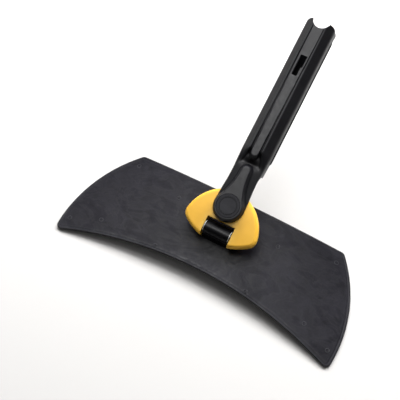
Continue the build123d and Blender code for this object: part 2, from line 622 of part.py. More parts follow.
with BuildPart() as handle_socket:
    for distance, section in neck_sections:
        with BuildSketch(cross_plane(distance)):
            add(section)
    loft(ruled=True)
    with BuildSketch(cross_plane(TUBE_START)):
        add(tube_section)
    extrude(amount=HANDLE_LENGTH - TUBE_START)
    # room to swivel over the yoke and past its sides
    with BuildSketch(side_plane):
        with BuildLine():
            flat = Line((0, EYE_BOTTOM), (SWIVEL_FLAT_RADIUS, EYE_BOTTOM))
            curve = SagittaArc(flat @ 1, (SWIVEL_CLEARANCE_RADIUS, -3), -1.8)
            Polyline(curve @ 1, (SWIVEL_CLEARANCE_RADIUS, -CUT_DEPTH), (0, -CUT_DEPTH), (0, EYE_BOTTOM))
        make_face()
    revolve(axis=swivel_axis, mode=Mode.SUBTRACT)
    # eye and the raised tongue that runs from it up the neck
    with BuildSketch(pivot_plane.offset(EYE_BOTTOM)):
        Circle(EYE_RADIUS)
    extrude(amount=NECK_TOP - EYE_BOTTOM + 0.2)
    with BuildSketch(pivot_plane.offset(NECK_TOP)):
        Circle(EYE_RADIUS - TONGUE_INSET)
        with Locations((0, TONGUE_END)):
            Circle(TONGUE_END_RADIUS)
        make_hull()
    extrude(amount=EYE_TOP - NECK_TOP, taper=TONGUE_SLOPE)
    # spigot that turns in the yoke's seat
    with BuildSketch(pivot_plane.offset(SPIGOT_BOTTOM)):
        Circle(SPIGOT_RADIUS)
    extrude(amount=EYE_BOTTOM - SPIGOT_BOTTOM + 0.5)
    # ridges beside the top panel, and beads along the lower corners
    for sign in (-1, 1):
        with BuildSketch(cross_plane(RIDGE_START)):
            with Locations((sign * RIDGE_OFFSET, TUBE_TOP)):
                Rectangle(RIDGE_WIDTH, RIDGE_HEIGHT)
        extrude(amount=HANDLE_LENGTH - RIDGE_START)
        with BuildSketch(cross_plane(BEAD_START)):
            with Locations((sign * BEAD_PLACE[0], BEAD_PLACE[1])):
                Circle(BEAD_RADIUS)
        extrude(amount=BEAD_END - BEAD_START)
    # recesses for the cap, the bolt head and the bush
    with BuildSketch(pivot_plane.offset(CAP_SEAT)):
        Circle(CAP_RADIUS + 0.1)
    extrude(amount=CUT_DEPTH, mode=Mode.SUBTRACT)
    with BuildSketch(pivot_plane.offset(HEAD_RECESS_FLOOR)):
        Circle(HEAD_RECESS_RADIUS)
    extrude(amount=CUT_DEPTH, mode=Mode.SUBTRACT)
    with BuildSketch(pivot_plane):
        Circle(SWIVEL_BUSH_RADIUS)
    extrude(amount=CUT_DEPTH, mode=Mode.SUBTRACT)
    # pole bore, button slot with its narrow end, and the scooped mouth
    with BuildSketch(cross_plane(HANDLE_LENGTH + 1)):
        with Locations((0, BORE_AXIS)):
            Circle(BORE_RADIUS)
    extrude(amount=-(HANDLE_LENGTH + 1 - BORE_BOTTOM), mode=Mode.SUBTRACT)
    with BuildSketch(pivot_plane.offset(BORE_AXIS)):
        for across, along, width, length in (SLOT_WIDE, SLOT_NARROW):
            with Locations((across, along)):
                RectangleRounded(width, length, SLOT_CORNER)
    extrude(amount=CUT_DEPTH, mode=Mode.SUBTRACT)
    with BuildSketch(pivot_plane.offset(-CUT_DEPTH)):
        with Locations((0, SCOOP_CENTRE)):
            Circle(SCOOP_RADIUS)
    extrude(amount=2 * CUT_DEPTH, mode=Mode.SUBTRACT)
finish(handle_socket.part, "handle_socket", BLACK)

# ---------------------------- snap-in cap over the swivel bolt
CAP_GROOVE = (9.3, 10.2)     # inner and outer radius of the ring groove
CAP_GROOVE_DEPTH = 0.5
with BuildPart() as pivot_cap:
    with BuildSketch(pivot_plane.offset(CAP_SEAT)):
        Circle(CAP_RADIUS)
    extrude(amount=EYE_TOP - CAP_SEAT)
    fillet(pivot_cap.edges().sort_by(Axis(pivot, yoke_normal))[-1], CAP_GROOVE_DEPTH)
    with BuildSketch(pivot_plane.offset(EYE_TOP)):
        Circle(CAP_GROOVE[1])
        Circle(CAP_GROOVE[0], mode=Mode.SUBTRACT)
    extrude(amount=-CAP_GROOVE_DEPTH, mode=Mode.SUBTRACT)
finish(pivot_cap.part, "pivot_cap", CHARCOAL)

mouth = pivot + handle_dir * HANDLE_LENGTH + yoke_normal * BORE_AXIS
for what, place in (("swivel axis foot", pivot), ("socket mouth", mouth), ("handle direction", handle_dir)):
    print(what, tuple(round(c, 6) for c in place))
print("bore length", HANDLE_LENGTH - BORE_BOTTOM)
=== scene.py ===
"""Looks of the flexible pad holder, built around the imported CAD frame.

Shapes are worked out in millimetres, in the CAD's own directions, and placed in metres
by `place`. The handle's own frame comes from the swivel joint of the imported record.
"""
import json
import math

import bmesh
import bpy
import numpy as np
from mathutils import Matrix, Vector, noise


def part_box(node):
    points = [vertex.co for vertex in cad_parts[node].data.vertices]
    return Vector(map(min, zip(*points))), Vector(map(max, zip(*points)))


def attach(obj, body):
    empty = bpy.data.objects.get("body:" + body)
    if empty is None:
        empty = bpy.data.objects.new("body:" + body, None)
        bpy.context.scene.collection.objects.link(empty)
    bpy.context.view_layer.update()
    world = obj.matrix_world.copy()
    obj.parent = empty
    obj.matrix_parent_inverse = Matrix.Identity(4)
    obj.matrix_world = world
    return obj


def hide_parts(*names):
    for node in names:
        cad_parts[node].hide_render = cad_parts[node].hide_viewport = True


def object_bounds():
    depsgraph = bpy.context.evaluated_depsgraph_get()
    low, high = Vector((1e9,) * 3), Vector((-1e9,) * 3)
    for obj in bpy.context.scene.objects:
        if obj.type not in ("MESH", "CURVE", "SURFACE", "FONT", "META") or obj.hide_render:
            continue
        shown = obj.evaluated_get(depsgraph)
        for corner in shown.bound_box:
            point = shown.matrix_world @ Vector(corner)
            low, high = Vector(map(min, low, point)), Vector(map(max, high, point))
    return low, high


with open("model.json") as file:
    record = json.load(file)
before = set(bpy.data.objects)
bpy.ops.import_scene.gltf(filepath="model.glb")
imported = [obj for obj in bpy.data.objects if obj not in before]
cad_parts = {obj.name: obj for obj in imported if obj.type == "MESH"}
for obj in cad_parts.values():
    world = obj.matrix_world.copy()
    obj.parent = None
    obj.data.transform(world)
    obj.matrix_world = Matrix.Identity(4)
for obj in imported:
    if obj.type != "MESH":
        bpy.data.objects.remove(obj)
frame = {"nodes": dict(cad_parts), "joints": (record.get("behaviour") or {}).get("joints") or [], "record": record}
cad_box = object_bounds()
nodes = frame["nodes"]
joints = {joint["name"]: joint for joint in frame["joints"]}
MM = 0.001

# frames: an origin in metres and three unit directions
RIGHT = np.array((1.0, 0.0, 0.0))
normal = np.array(joints["handle_swivel"]["axis"], float)
normal /= np.linalg.norm(normal)
along = np.cross(normal, RIGHT)
pivot = np.array(joints["handle_swivel"]["pos_m"], float)
CAD_FRAME = (np.zeros(3), np.eye(3))
HANDLE = (pivot, np.array((RIGHT, along, normal)))
FLOOR_Z = cad_box[0].z


# ---------------------------- mesh helpers
def place(points, where):
    """Millimetre points in a frame, as metre points in the CAD's frame."""
    origin, axes = where
    return origin + np.asarray(points, float) * MM @ axes


def smoothstep(value, low, high):
    t = np.clip((value - low) / (high - low), 0.0, 1.0)
    return t * t * (3 - 2 * t)


def mesh_object(name, points, faces, where=CAD_FRAME):
    mesh = bpy.data.meshes.new(name)
    mesh.from_pydata(place(points, where).tolist(), [], faces)
    mesh.validate()
    bm = bmesh.new()
    bm.from_mesh(mesh)
    bmesh.ops.recalc_face_normals(bm, faces=bm.faces)
    bm.to_mesh(mesh)
    bm.free()
    obj = bpy.data.objects.new(name, mesh)
    bpy.context.scene.collection.objects.link(obj)
    return obj


def loop_faces(rings, count):
    """Quads between successive closed loops of `count` points, and two end caps."""
    faces = []
    for ring in range(rings - 1):
        for step in range(count):
            a = ring * count + step
            b = ring * count + (step + 1) % count
            faces.append((a, b, b + count, a + count))
    faces.append(tuple(range(count)))
    faces.append(tuple(range((rings - 1) * count, rings * count)))
    return faces


def lathe(name, profile, where, centre=(0, 0), turn="normal", segments=96):
    """Closed solid of revolution. The profile holds (radius, height) from end to end."""
    points = []
    for radius, height in profile:
        for step in range(segments):
            angle = 2 * math.pi * step / segments
            a = centre[0] + radius * math.cos(angle)
            b = centre[1] + radius * math.sin(angle)
            points.append((a, b, height) if turn == "normal" else (a, height, b))
    return mesh_object(name, points, loop_faces(len(profile), segments), where)


def prism(name, outline, levels, where):
    """Solid over a plan outline. Levels hold (height, how far the outline grows there)."""
    outline = np.asarray(outline, float)
    tangent = np.roll(outline, -1, axis=0) - np.roll(outline, 1, axis=0)
    outward = np.stack((tangent[:, 1], -tangent[:, 0]), axis=1)
    outward /= np.linalg.norm(outward, axis=1)[:, None]
    points = []
    for height, growth in levels:
        ring = outline + outward * growth
        points += [(x, y, height) for x, y in ring]
    return mesh_object(name, points, loop_faces(len(levels), len(outline)), where)


def rounded_rectangle(centre, width, length, radius, steps=5):
    """Anticlockwise outline with round corners."""
    outline = []
    for quarter in range(4):
        side_x = 1 if quarter in (0, 3) else -1
        side_y = 1 if quarter in (0, 1) else -1
        corner = (centre[0] + side_x * (width / 2 - radius), centre[1] + side_y * (length / 2 - radius))
        for step in range(steps + 1):
            angle = math.pi / 2 * (quarter + step / steps)
            outline.append((corner[0] + radius * math.cos(angle), corner[1] + radius * math.sin(angle)))
    return outline


def cut_away(obj, other):
    """Cuts one closed mesh out of another and removes the cutter."""
    modifier = obj.modifiers.new("cut", "BOOLEAN")
    modifier.operation = "DIFFERENCE"
    modifier.solver = "EXACT"
    modifier.object = other
    bpy.context.view_layer.update()
    depsgraph = bpy.context.evaluated_depsgraph_get()
    mesh = bpy.data.meshes.new_from_object(obj.evaluated_get(depsgraph))
    obj.modifiers.clear()
    obj.data = mesh
    bpy.data.objects.remove(other)


def finish_piece(obj, body, slot_name, replaced=(), crisp=32):
    """Material, smooth shading with crisp edges, the body it belongs to, and the CAD nodes it replaces hidden."""
    dress(obj, slot_name)
    obj.data.polygons.foreach_set("use_smooth", [True] * len(obj.data.polygons))
    obj.data.set_sharp_from_angle(angle=math.radians(crisp))
    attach(obj, body)
    if replaced:
        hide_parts(*replaced)
    return obj


# ---------------------------- material helpers
def new_material(name):
    material = bpy.data.materials.new(name)
    material.use_nodes = True
    return material, material.node_tree.nodes, material.node_tree.links


def object_coords(tree_nodes, links, stretch=(1, 1, 1)):
    """Object-space coordinates in millimetres, optionally stretched."""
    coords = tree_nodes.new("ShaderNodeTexCoord")
    mapping = tree_nodes.new("ShaderNodeMapping")
    mapping.inputs["Scale"].default_value = [s / MM for s in stretch]
    links.new(coords.outputs["Object"], mapping.inputs["Vector"])
    return mapping.outputs["Vector"]


def noise_texture(tree_nodes, links, vector, scale, detail=4.0, roughness=0.55, distortion=0.0):
    texture = tree_nodes.new("ShaderNodeTexNoise")
    texture.inputs["Scale"].default_value = scale
    texture.inputs["Detail"].default_value = detail
    texture.inputs["Roughness"].default_value = roughness
    texture.inputs["Distortion"].default_value = distortion
    links.new(vector, texture.inputs["Vector"])
    return texture.outputs["Fac"]


def ramp(tree_nodes, links, factor, stops):
    """Colour ramp; a stop's colour is a grey level or an RGB triple."""
    node = tree_nodes.new("ShaderNodeValToRGB")
    elements = node.color_ramp.elements
    while len(elements) < len(stops):
        elements.new(0.5)
    for element, (position, colour) in zip(elements, stops):
        element.position = position
        element.color = (*colour, 1.0) if isinstance(colour, tuple) else (colour, colour, colour, 1.0)
    links.new(factor, node.inputs["Fac"])
    return node.outputs["Color"]


def multiply(tree_nodes, links, first, second):
    mix = tree_nodes.new("ShaderNodeMix")
    mix.data_type = "RGBA"
    mix.blend_type = "MULTIPLY"
    mix.inputs["Factor"].default_value = 1.0
    links.new(first, mix.inputs["A"])
    links.new(second, mix.inputs["B"])
    return mix.outputs["Result"]


def bump(tree_nodes, links, height, distance, strength=1.0, under=None):
    node = tree_nodes.new("ShaderNodeBump")
    node.inputs["Distance"].default_value = distance * MM
    node.inputs["Strength"].default_value = strength
    links.new(height, node.inputs["Height"])
    if under is not None:
        links.new(under, node.inputs["Normal"])
    return node.outputs["Normal"]


def painted_edge_highlight(tree_nodes, links):
    """Painted highlight where an edge stands proud, from the surface's own shape."""
    geometry = tree_nodes.new("ShaderNodeNewGeometry")
    return ramp(tree_nodes, links, geometry.outputs["Pointiness"], [(0.50, 0.0), (0.56, 1.0)])


def open_sky(tree_nodes, reach):
    """How much of its surroundings a point sees within reach (mm): low in hollows."""
    occlusion = tree_nodes.new("ShaderNodeAmbientOcclusion")
    occlusion.samples = 8
    occlusion.inputs["Distance"].default_value = reach * MM
    return occlusion.outputs["AO"]


def lighten(tree_nodes, links, base, factor, colour, amount):
    mix = tree_nodes.new("ShaderNodeMix")
    mix.data_type = "RGBA"
    mix.inputs["B"].default_value = (*colour, 1.0)
    scale = tree_nodes.new("ShaderNodeMath")
    scale.operation = "MULTIPLY"
    scale.inputs[1].default_value = amount
    links.new(factor, scale.inputs[0])
    links.new(scale.outputs["Value"], mix.inputs["Factor"])
    links.new(base, mix.inputs["A"])
    return mix.outputs["Result"]


def charcoal_rubber():
    """Matt flexible sheet with smudges, wiped swirls, hair scratches and fine grain."""
    material, n, l = new_material("charcoal_rubber")
    shader = n["Principled BSDF"]
    vector = object_coords(n, l)
    blotch = noise_texture(n, l, vector, scale=0.020, detail=3, roughness=0.5, distortion=1.0)
    base = ramp(n, l, blotch, [(0.32, (0.0062, 0.0058, 0.0088)), (0.68, (0.0104, 0.0098, 0.0142))])
    swirl = noise_texture(n, l, vector, scale=0.045, detail=4, roughness=0.5, distortion=2.6)
    smudge = ramp(n, l, swirl, [(0.40, 0.80), (0.50, 1.15), (0.60, 0.92)])
    base = multiply(n, l, base, smudge)
    long_way = object_coords(n, l, (0.35, 1.0, 1.0))
    scratch = noise_texture(n, l, long_way, scale=0.9, detail=2, roughness=0.4, distortion=0.8)
    hairline = ramp(n, l, scratch, [(0.490, 0.0), (0.500, 1.0), (0.510, 0.0)])
    base = lighten(n, l, base, hairline, (0.060, 0.060, 0.066), 0.10)
    # painted highlight: a lighter line along the plate's proud border
    base = lighten(n, l, base, painted_edge_highlight(n, l), (0.055, 0.055, 0.060), 0.5)
    l.new(base, shader.inputs["Base Color"])
    rough = ramp(n, l, swirl, [(0.36, 0.40), (0.50, 0.56), (0.64, 0.44)])
    l.new(rough, shader.inputs["Roughness"])
    wide = object_coords(n, l, (0.7, 1.25, 1.0))
    polish = noise_texture(n, l, wide, scale=0.026, detail=6, roughness=0.62, distortion=2.2)
    gloss = ramp(n, l, polish, [(0.36, 0.120), (0.46, 0.160), (0.50, 0.215), (0.56, 0.165), (0.68, 0.20)])
    l.new(gloss, shader.inputs["Specular IOR Level"])
    grain = noise_texture(n, l, vector, scale=1.6, detail=3, roughness=0.6)
    ripple = noise_texture(n, l, vector, scale=0.07, detail=3, roughness=0.5, distortion=1.6)
    first = bump(n, l, ripple, 0.35, 0.5)
    l.new(bump(n, l, grain, 0.012, 0.6, first), shader.inputs["Normal"])
    return material


HOLLOW_REACH = 9.0


def moulded_plastic(name, dark, light, roughness, specular=0.5, grain=0.012, edge=None, hollows=False):
    """Injection-moulded plastic: cloudy colour, uneven gloss, spark-eroded grain, painted highlight on proud
    edges.
    """
    material, n, l = new_material(name)
    shader = n["Principled BSDF"]
    vector = object_coords(n, l)
    cloud = noise_texture(n, l, vector, scale=0.07, detail=4, roughness=0.55, distortion=0.6)
    base = ramp(n, l, cloud, [(0.3, dark), (0.7, light)])
    if edge is not None:
        # painted highlight: proud edges lightened towards the edge colour
        base = lighten(n, l, base, painted_edge_highlight(n, l), edge, 0.6)
    l.new(base, shader.inputs["Base Color"])
    streak = noise_texture(n, l, vector, scale=0.25, detail=5, roughness=0.6)
    l.new(ramp(n, l, streak, [(0.3, roughness - 0.05), (0.7, roughness + 0.06)]), shader.inputs["Roughness"])
    if hollows:
        # painted shade: gloss fades where a point sees little of its surroundings, darkening hollows
        shade = ramp(n, l, open_sky(n, HOLLOW_REACH), [(0.45, 0.05 * specular), (0.95, specular)])
        l.new(shade, shader.inputs["Specular IOR Level"])
    else:
        shader.inputs["Specular IOR Level"].default_value = specular
    fine = noise_texture(n, l, vector, scale=2.4, detail=3, roughness=0.55)
    l.new(bump(n, l, fine, grain, 0.6), shader.inputs["Normal"])
    return material


def hook_tape():
    """Black nylon weave: crossed threads in colour and height."""
    material, n, l = new_material("hook_tape")
    shader = n["Principled BSDF"]
    vector = object_coords(n, l)
    heights = []
    for direction in ("X", "Y"):
        wave = n.new("ShaderNodeTexWave")
        wave.bands_direction = direction
        wave.inputs["Scale"].default_value = 0.35
        wave.inputs["Distortion"].default_value = 0.4
        l.new(vector, wave.inputs["Vector"])
        heights.append(wave.outputs["Color"])
    weave = multiply(n, l, heights[0], heights[1])
    l.new(ramp(n, l, weave, [(0.1, 0.006), (0.8, 0.028)]), shader.inputs["Base Color"])
    shader.inputs["Roughness"].default_value = 0.62
    shader.inputs["Sheen Weight"].default_value = 0.2
    l.new(bump(n, l, weave, 0.08, 0.8), shader.inputs["Normal"])
    return material


def plated_steel():
    """Zinc plate with fine brushing along X."""
    material, n, l = new_material("plated_steel")
    shader = n["Principled BSDF"]
    vector = object_coords(n, l, (0.15, 1, 1))
    brushed = noise_texture(n, l, vector, scale=2.5, detail=4, roughness=0.6)
    base = ramp(n, l, brushed, [(0.3, (0.50, 0.50, 0.51)), (0.7, (0.68, 0.68, 0.70))])
    l.new(base, shader.inputs["Base Color"])
    l.new(ramp(n, l, brushed, [(0.3, 0.26), (0.7, 0.40)]), shader.inputs["Roughness"])
    shader.inputs["Metallic"].default_value = 1.0
    l.new(bump(n, l, brushed, 0.01, 0.5), shader.inputs["Normal"])
    return material


materials = {
    "charcoal_rubber": charcoal_rubber(),
    "black_gloss": moulded_plastic(
        "black_gloss", (0.002, 0.002, 0.003), (0.004, 0.004, 0.005),
        roughness=0.34, specular=0.11, grain=0.004,
    ),
    "black_plastic": moulded_plastic(
        "black_plastic", (0.0035, 0.0035, 0.0045), (0.0055, 0.0055, 0.0070),
        # edge: colour of the painted highlight on proud edges; hollows: gloss cut as painted shade
        roughness=0.42, specular=0.19, edge=(0.03, 0.03, 0.034), hollows=True,
    ),
    "charcoal_plastic": moulded_plastic(
        "charcoal_plastic", (0.008, 0.008, 0.010), (0.012, 0.012, 0.0145),
        # edge: colour of the painted highlight on proud edges
        roughness=0.52, specular=0.07, edge=(0.04, 0.04, 0.045),
    ),
    "yellow_plastic": moulded_plastic(
        "yellow_plastic", (0.83, 0.450, 0.040), (0.88, 0.485, 0.048),
        # edge: colour of the painted highlight on proud edges
        roughness=0.46, specular=0.22, grain=0.006, edge=(0.88, 0.55, 0.10),
    ),
    "hook_tape": hook_tape(),
    "acetal": moulded_plastic("acetal", (0.60, 0.59, 0.54), (0.68, 0.67, 0.62), roughness=0.35),
    "steel": plated_steel(),
}


def dress(obj, slot_name):
    """Gives an object the finish of a record slot."""
    obj.data.materials.clear()
    obj.data.materials.append(materials[slot_name])


slot_of = {part["node"]: part["material_slot"] for part in frame["record"]["subparts"]}
for node_name, node in nodes.items():
    dress(node, slot_of[node_name])


# ---------------------------- plate: arched skin with a rolled border
FRONT_HALF = 175.0
REAR_HALF = 133.5
FRONT_Y = -75.0
REAR_Y = 59.5
FRONT_HOLLOW = 30.6
END_BULGE = 15.0
REAR_HOLLOW = 3.0
PLATE_CORNER = 5.5
PLATE_THICKNESS = 3.0
ARCH_RISE = 12.3
# half width of the arch where it meets the floor, at three depths
ARCH_DEPTHS = (-79.0, -7.75, 63.5)
ARCH_HALVES = (175.0, 168.5, 131.5)


def arch_drop(x, y):
    """How far the arched underside lies below its crown."""
    half = np.polyval(np.polyfit(ARCH_DEPTHS, ARCH_HALVES, 2), y)
    radius = half**2 / (2 * ARCH_RISE) + ARCH_RISE / 2
    return radius - np.sqrt(radius**2 - np.asarray(x, float) ** 2)


def sagitta_arc(start, end, sagitta, step=0.5):
    """Points of an arc that bows to the left of its chord for a positive sagitta."""
    start = np.array(start, float)
    end = np.array(end, float)
    chord = end - start
    half = np.linalg.norm(chord) / 2
    left = np.array((-chord[1], chord[0])) / (2 * half)
    radius = half**2 / (2 * abs(sagitta)) + abs(sagitta) / 2
    count = int(2 * half / step)
    offset = np.linspace(-half, half, count)
    rise = np.sqrt(radius**2 - offset**2) - (radius - abs(sagitta))
    middle = (start + end) / 2
    direction = chord / (2 * half)
    return middle + offset[:, None] * direction + np.sign(sagitta) * rise[:, None] * left


# points between the two ends of the chord that gives a side's direction at a corner
CHORD_POINTS = 8
CORNER_POINTS = 14


def round_corner(before, after, radius):
    """Cuts two meeting arcs back and joins them with a cubic close to a circular arc."""
    into = before[-1] - before[-1 - CHORD_POINTS]
    out = after[CHORD_POINTS] - after[0]
    into /= np.linalg.norm(into)
    out /= np.linalg.norm(out)
    turn = math.acos(np.clip(np.dot(into, out), -1, 1))
    setback = radius * math.tan(turn / 2)
    keep_before = before[np.linalg.norm(before - before[-1], axis=1) > setback]
    keep_after = after[np.linalg.norm(after - after[0], axis=1) > setback]
    handle_length = 4 / 3 * math.tan(turn / 4) * radius
    p0, p3 = keep_before[-1], keep_after[0]
    p1, p2 = p0 + into * handle_length, p3 - out * handle_length
    t = np.linspace(0, 1, CORNER_POINTS)[1:-1, None]
    curve = (1 - t) ** 3 * p0 + 3 * (1 - t) ** 2 * t * p1 + 3 * (1 - t) * t**2 * p2 + t**3 * p3
    return keep_before, curve, keep_after


def even_loop(points, count):
    """The same closed line with `count` evenly spaced points."""
    closed = np.vstack((points, points[:1]))
    length = np.concatenate(([0], np.cumsum(np.linalg.norm(np.diff(closed, axis=0), axis=1))))
    stations = np.linspace(0, length[-1], count, endpoint=False)
    return np.stack([np.interp(stations, length, closed[:, axis]) for axis in (0, 1)], axis=1)


def plate_outline(count):
    """Anticlockwise plan of the plate, evenly divided."""
    front_left, front_right = (-FRONT_HALF, FRONT_Y), (FRONT_HALF, FRONT_Y)
    rear_right, rear_left = (REAR_HALF, REAR_Y), (-REAR_HALF, REAR_Y)
    sides = [
        sagitta_arc(front_left, front_right, FRONT_HOLLOW),
        sagitta_arc(front_right, rear_right, -END_BULGE),
        sagitta_arc(rear_right, rear_left, REAR_HOLLOW),
        sagitta_arc(rear_left, front_left, -END_BULGE),
    ]
    line = []
    for index in range(4):
        following = (index + 1) % 4
        sides[index], curve, sides[following] = round_corner(sides[index], sides[following], PLATE_CORNER)
        line.append((index, curve))
    joined = np.vstack([part for index, curve in line for part in (sides[index], curve)])
    return even_loop(joined, count)


def inset_loop(loop, distance):
    """The anticlockwise loop moved inwards, each point along its own normal."""
    tangent = np.roll(loop, -1, axis=0) - np.roll(loop, 1, axis=0)
    inward = np.stack((-tangent[:, 1], tangent[:, 0]), axis=1)
    inward /= np.linalg.norm(inward, axis=1)[:, None]
    return loop + inward * distance


def surface_wave(x, y):
    """Slight unevenness of the moulded sheet, in millimetres."""
    broad = noise.noise(Vector((x / 46, y / 30, 3.1)))
    narrow = noise.noise(Vector((x / 15 + 7, y / 11, 8.4)))
    return 0.22 * broad + 0.07 * narrow


# border in section, from the underside round the edge to the field: (inset, height)
BORDER = (
    (1.6, 0.0), (0.75, 0.02), (0.3, 0.18), (0.05, 0.55), (0.0, 1.1), (0.0, 1.7), (0.12, 2.2), (0.4, 2.62),
    (0.85, 2.88), (1.5, 3.0), (2.3, 2.98), (2.75, 2.82), (3.1, 2.66), (3.5, 2.68), (3.9, 2.84), (4.4, 2.97),
    (5.4, 3.0),
)
PLATE_CENTRE = np.array((0.0, 1.0))
OUTLINE_POINTS = 480
TOP_RINGS = 44
UNDER_RINGS = 16
MARK_PROFILE = (
    (0.2, 0.03), (1.2, 0.02), (1.7, 0.10), (2.05, 0.30), (2.4, 0.22), (2.7, -0.1), (1.0, -0.5),
)
MARK_SEGMENTS = 28
FADE_RINGS = 4
# ejector marks in one half of the plate, mirrored to the other
MARKS = ((58, -42), (65, 25), (131, -42), (131, 43), (166, -56))


def plate_skin():
    """Closed skin: rings from the underside out round the border and in over the top."""
    outline = plate_outline(OUTLINE_POINTS)
    points = []

    def add_ring(loop, height, wave):
        drops = arch_drop(loop[:, 0], loop[:, 1])
        for (x, y), drop in zip(loop, drops):
            lift = wave * surface_wave(x, y) if wave else 0.0
            points.append((x, y, height - drop + lift))

    def shrink(loop, share):
        return PLATE_CENTRE + (loop - PLATE_CENTRE) * share

    under_edge = inset_loop(outline, BORDER[0][0])
    for ring in range(UNDER_RINGS):
        add_ring(shrink(under_edge, (ring + 0.12) / UNDER_RINGS), 0.0, 0)
    for inset, height in BORDER:
        add_ring(inset_loop(outline, inset), height, 0)
    field = inset_loop(outline, BORDER[-1][0])
    for ring in range(1, TOP_RINGS):
        fade = min(1.0, ring / FADE_RINGS)
        add_ring(shrink(field, 1 - (ring - 0.1) / TOP_RINGS), PLATE_THICKNESS, fade)
    rings = UNDER_RINGS + len(BORDER) + TOP_RINGS - 1
    skin = mesh_object("plate_skin", points, loop_faces(rings, OUTLINE_POINTS))
    cut_away(skin, backing_pocket())
    return finish_piece(skin, "plate", "charcoal_rubber", ["flex_plate"], crisp=50)


BACKING_CENTRE = (0.0, 6.0)
BACKING_SIZE = (60.6, 30.6)
BACKING_CORNER = 4.3
BACKING_DEPTH = 1.2


def backing_pocket():
    """Room for the steel backing plate, its roof following the arch."""
    outline = rounded_rectangle(BACKING_CENTRE, *BACKING_SIZE, BACKING_CORNER, 6)
    outline = even_loop(np.array(outline), 96)
    points = []
    centre = np.array(BACKING_CENTRE)
    levels = [(0.1, -6, 0), (1.0, -6, 0)] + [(share, BACKING_DEPTH, 1) for share in (1.0, 0.6, 0.2)]
    for share, height, follow in levels:
        ring = centre + (outline - centre) * share
        drops = arch_drop(ring[:, 0], ring[:, 1]) * follow
        points += [(x, y, height - drop) for (x, y), drop in zip(ring, drops)]
    return mesh_object("pocket_cutter", points, loop_faces(len(levels), len(outline)))


def ejector_marks():
    """Shallow round moulding marks: a low rim with a sunken middle."""
    points, faces = [], []
    for sign in (-1, 1):
        for x0, y0 in MARKS:
            start = len(points)
            for radius, height in MARK_PROFILE:
                for step in range(MARK_SEGMENTS):
                    angle = 2 * math.pi * step / MARK_SEGMENTS
                    x = sign * x0 + radius * math.cos(angle)
                    y = y0 + radius * math.sin(angle)
                    base = PLATE_THICKNESS - float(arch_drop(x, y)) + surface_wave(x, y)
                    points.append((x, y, base + height))
            ring_faces = loop_faces(len(MARK_PROFILE), MARK_SEGMENTS)
            faces += [tuple(start + v for v in face) for face in ring_faces]
    marks = mesh_object("ejector_marks", points, faces)
    return finish_piece(marks, "plate", "charcoal_rubber", crisp=60)


# ---------------------------- hook strips: woven backing with rows of mushroom hooks
STRIP_BACKING = 0.7
STRIP_TOTAL = 1.6
HOOK_PITCH = 2.4
HOOK_SIDES = 5
HOOK_MARGIN_LONG = 3
HOOK_MARGIN_ACROSS = 2.5
STRIP_CORNER = 3.0


def hook_strip(name):
    """One strip over its CAD node's plan, with hooks standing down from the backing."""
    low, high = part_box(name)
    centre = ((low.x + high.x) / 2 / MM, (low.y + high.y) / 2 / MM)
    length, width = (high.x - low.x) / MM, (high.y - low.y) / MM
    outline = even_loop(np.array(rounded_rectangle(centre, length, width, STRIP_CORNER, 6)), 120)
    points = []
    rows = (
        (0.05, 0.0), (0.5, 0.0), (1.0, 0.0),
        (1.0, STRIP_BACKING * 0.8), (0.992, STRIP_BACKING), (0.05, STRIP_BACKING),
    )
    for share, depth in rows:
        ring = np.array(centre) + (outline - np.array(centre)) * share
        drops = arch_drop(ring[:, 0], ring[:, 1])
        points += [(x, y, -depth - drop) for (x, y), drop in zip(ring, drops)]
    faces = loop_faces(len(rows), len(outline))
    stem = (
        (0.42, STRIP_BACKING * 0.5), (0.34, STRIP_TOTAL - 0.45),
        (0.62, STRIP_TOTAL - 0.25), (0.3, STRIP_TOTAL),
    )
    columns = int((length - HOOK_MARGIN_LONG) / HOOK_PITCH)
    lines = int((width - HOOK_MARGIN_ACROSS) / HOOK_PITCH)
    for column in range(columns):
        for line in range(lines):
            stagger = 0.25 if line % 2 else -0.25
            x0 = centre[0] + (column + stagger - (columns - 1) / 2) * HOOK_PITCH
            y0 = centre[1] + (line - (lines - 1) / 2) * HOOK_PITCH
            drop = float(arch_drop(x0, y0))
            start = len(points)
            for radius, depth in stem:
                for step in range(HOOK_SIDES):
                    angle = 2 * math.pi * (step + 0.5 * (line % 2)) / HOOK_SIDES
                    x = x0 + radius * math.cos(angle)
                    y = y0 + radius * math.sin(angle)
                    points.append((x, y, -depth - drop))
            faces += [tuple(start + v for v in face) for face in loop_faces(len(stem), HOOK_SIDES)]
    strip = mesh_object(name + "_woven", points, faces)
    return finish_piece(strip, "plate", "hook_tape", [name], crisp=60)


# ---------------------------- handle: eye, tongue, neck and ridged socket in one skin
EYE_RADIUS = 18.0
EYE_TOP = 15.0
EYE_BOTTOM = 7.4
NECK_TOP = 10.3
TUBE_TOP = 16.9
TUBE_TOP_HALF = 9.2
TUBE_HALF = 17.3
TUBE_SHOULDER = 8.2
SIDE_BOTTOM = -8.5
TUBE_BOTTOM = -14.5
TUBE_BOTTOM_HALF = 9.5
HANDLE_LENGTH = 235.0
BORE_RADIUS = 12.5
BORE_AXIS = 1.5
BORE_BOTTOM = 70.0
TONGUE_NOSE = 45.0
TONGUE_NOSE_RADIUS = 6.2
MOUTH_ROUNDING = 3.5
TOP_COLUMNS = 79
CLEARANCE_FLAT = 40.5
CLEARANCE_RADIUS = 50.0
CLEARANCE_DROP = 10.4
ROOM_DEPTH = -30
PAD_RADIUS = EYE_RADIUS - 0.4
WAIST_STATIONS = (0, 10, 20, 28, 36, 46, 56, 66)
WAIST_HALVES = (18.0, 17.8, 17.2, 16.6, 16.3, 16.4, 16.9, TUBE_HALF)
STRAP_CROWN = 1.3
STRAP_FALL = 3.6
HOLLOW_DEPTH = 3.4
HOLLOW_STATION = 54.0
